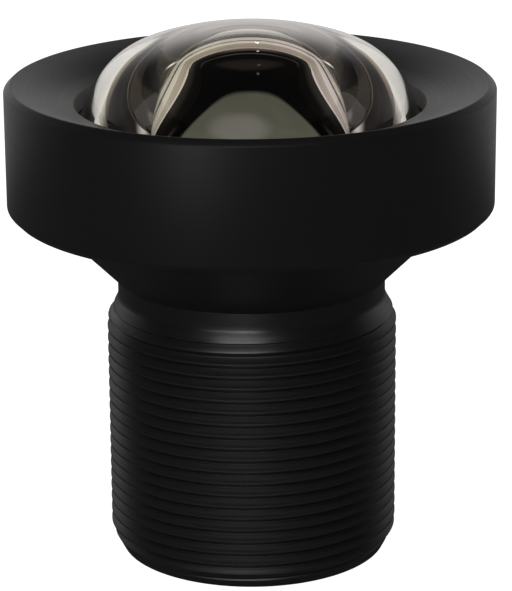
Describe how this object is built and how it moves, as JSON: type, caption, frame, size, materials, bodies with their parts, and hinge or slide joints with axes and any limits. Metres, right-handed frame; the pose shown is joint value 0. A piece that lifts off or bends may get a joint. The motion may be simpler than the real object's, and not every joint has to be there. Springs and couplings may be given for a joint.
{
  "type": "board camera lens",
  "caption": "Fixed-focus wide-angle lens for board cameras: a domed front glass in a dished round head on a slim threaded barrel.",
  "frame": {"origin": "centre of the barrel's rear end face, on which the lens stands", "axes": "+Z along the optical axis, from the rear end towards the front glass; X and Y are equal by symmetry"},
  "size_m": [0.0198, 0.0198, 0.022],
  "materials": {
    "barrel_anodised": "black anodised, fine turned satin",
    "cap_anodised": "black anodised, fine turned satin with brightened edges",
    "inner_anodised": "matte black anodised",
    "shield_film": "matte black film",
    "seal_rubber": "matte",
    "front_glass": "polished, with an anti-reflection coating",
    "inner_glass": "polished, with a green-grey anti-reflection coating and inked rims",
    "filter_glass": "polished flat filter with a pink-green reflection"
  },
  "bodies": {
    "root": {"lens_barrel": "barrel_anodised", "front_cap": "cap_anodised", "glass_washer": "shield_film", "front_element": "front_glass", "seal_ring": "seal_rubber", "front_shield": "shield_film", "front_spacer": "inner_anodised", "second_element": "inner_glass", "second_spacer": "inner_anodised", "third_element": "inner_glass", "aperture_stop": "shield_film", "stop_spacer": "inner_anodised", "fourth_element": "inner_glass", "fifth_element": "inner_glass", "rear_spacer": "inner_anodised", "sixth_element": "inner_glass", "rear_shield": "shield_film", "rear_retaining_ring": "inner_anodised", "infrared_filter": "filter_glass"}
  },
  "joints": []
}
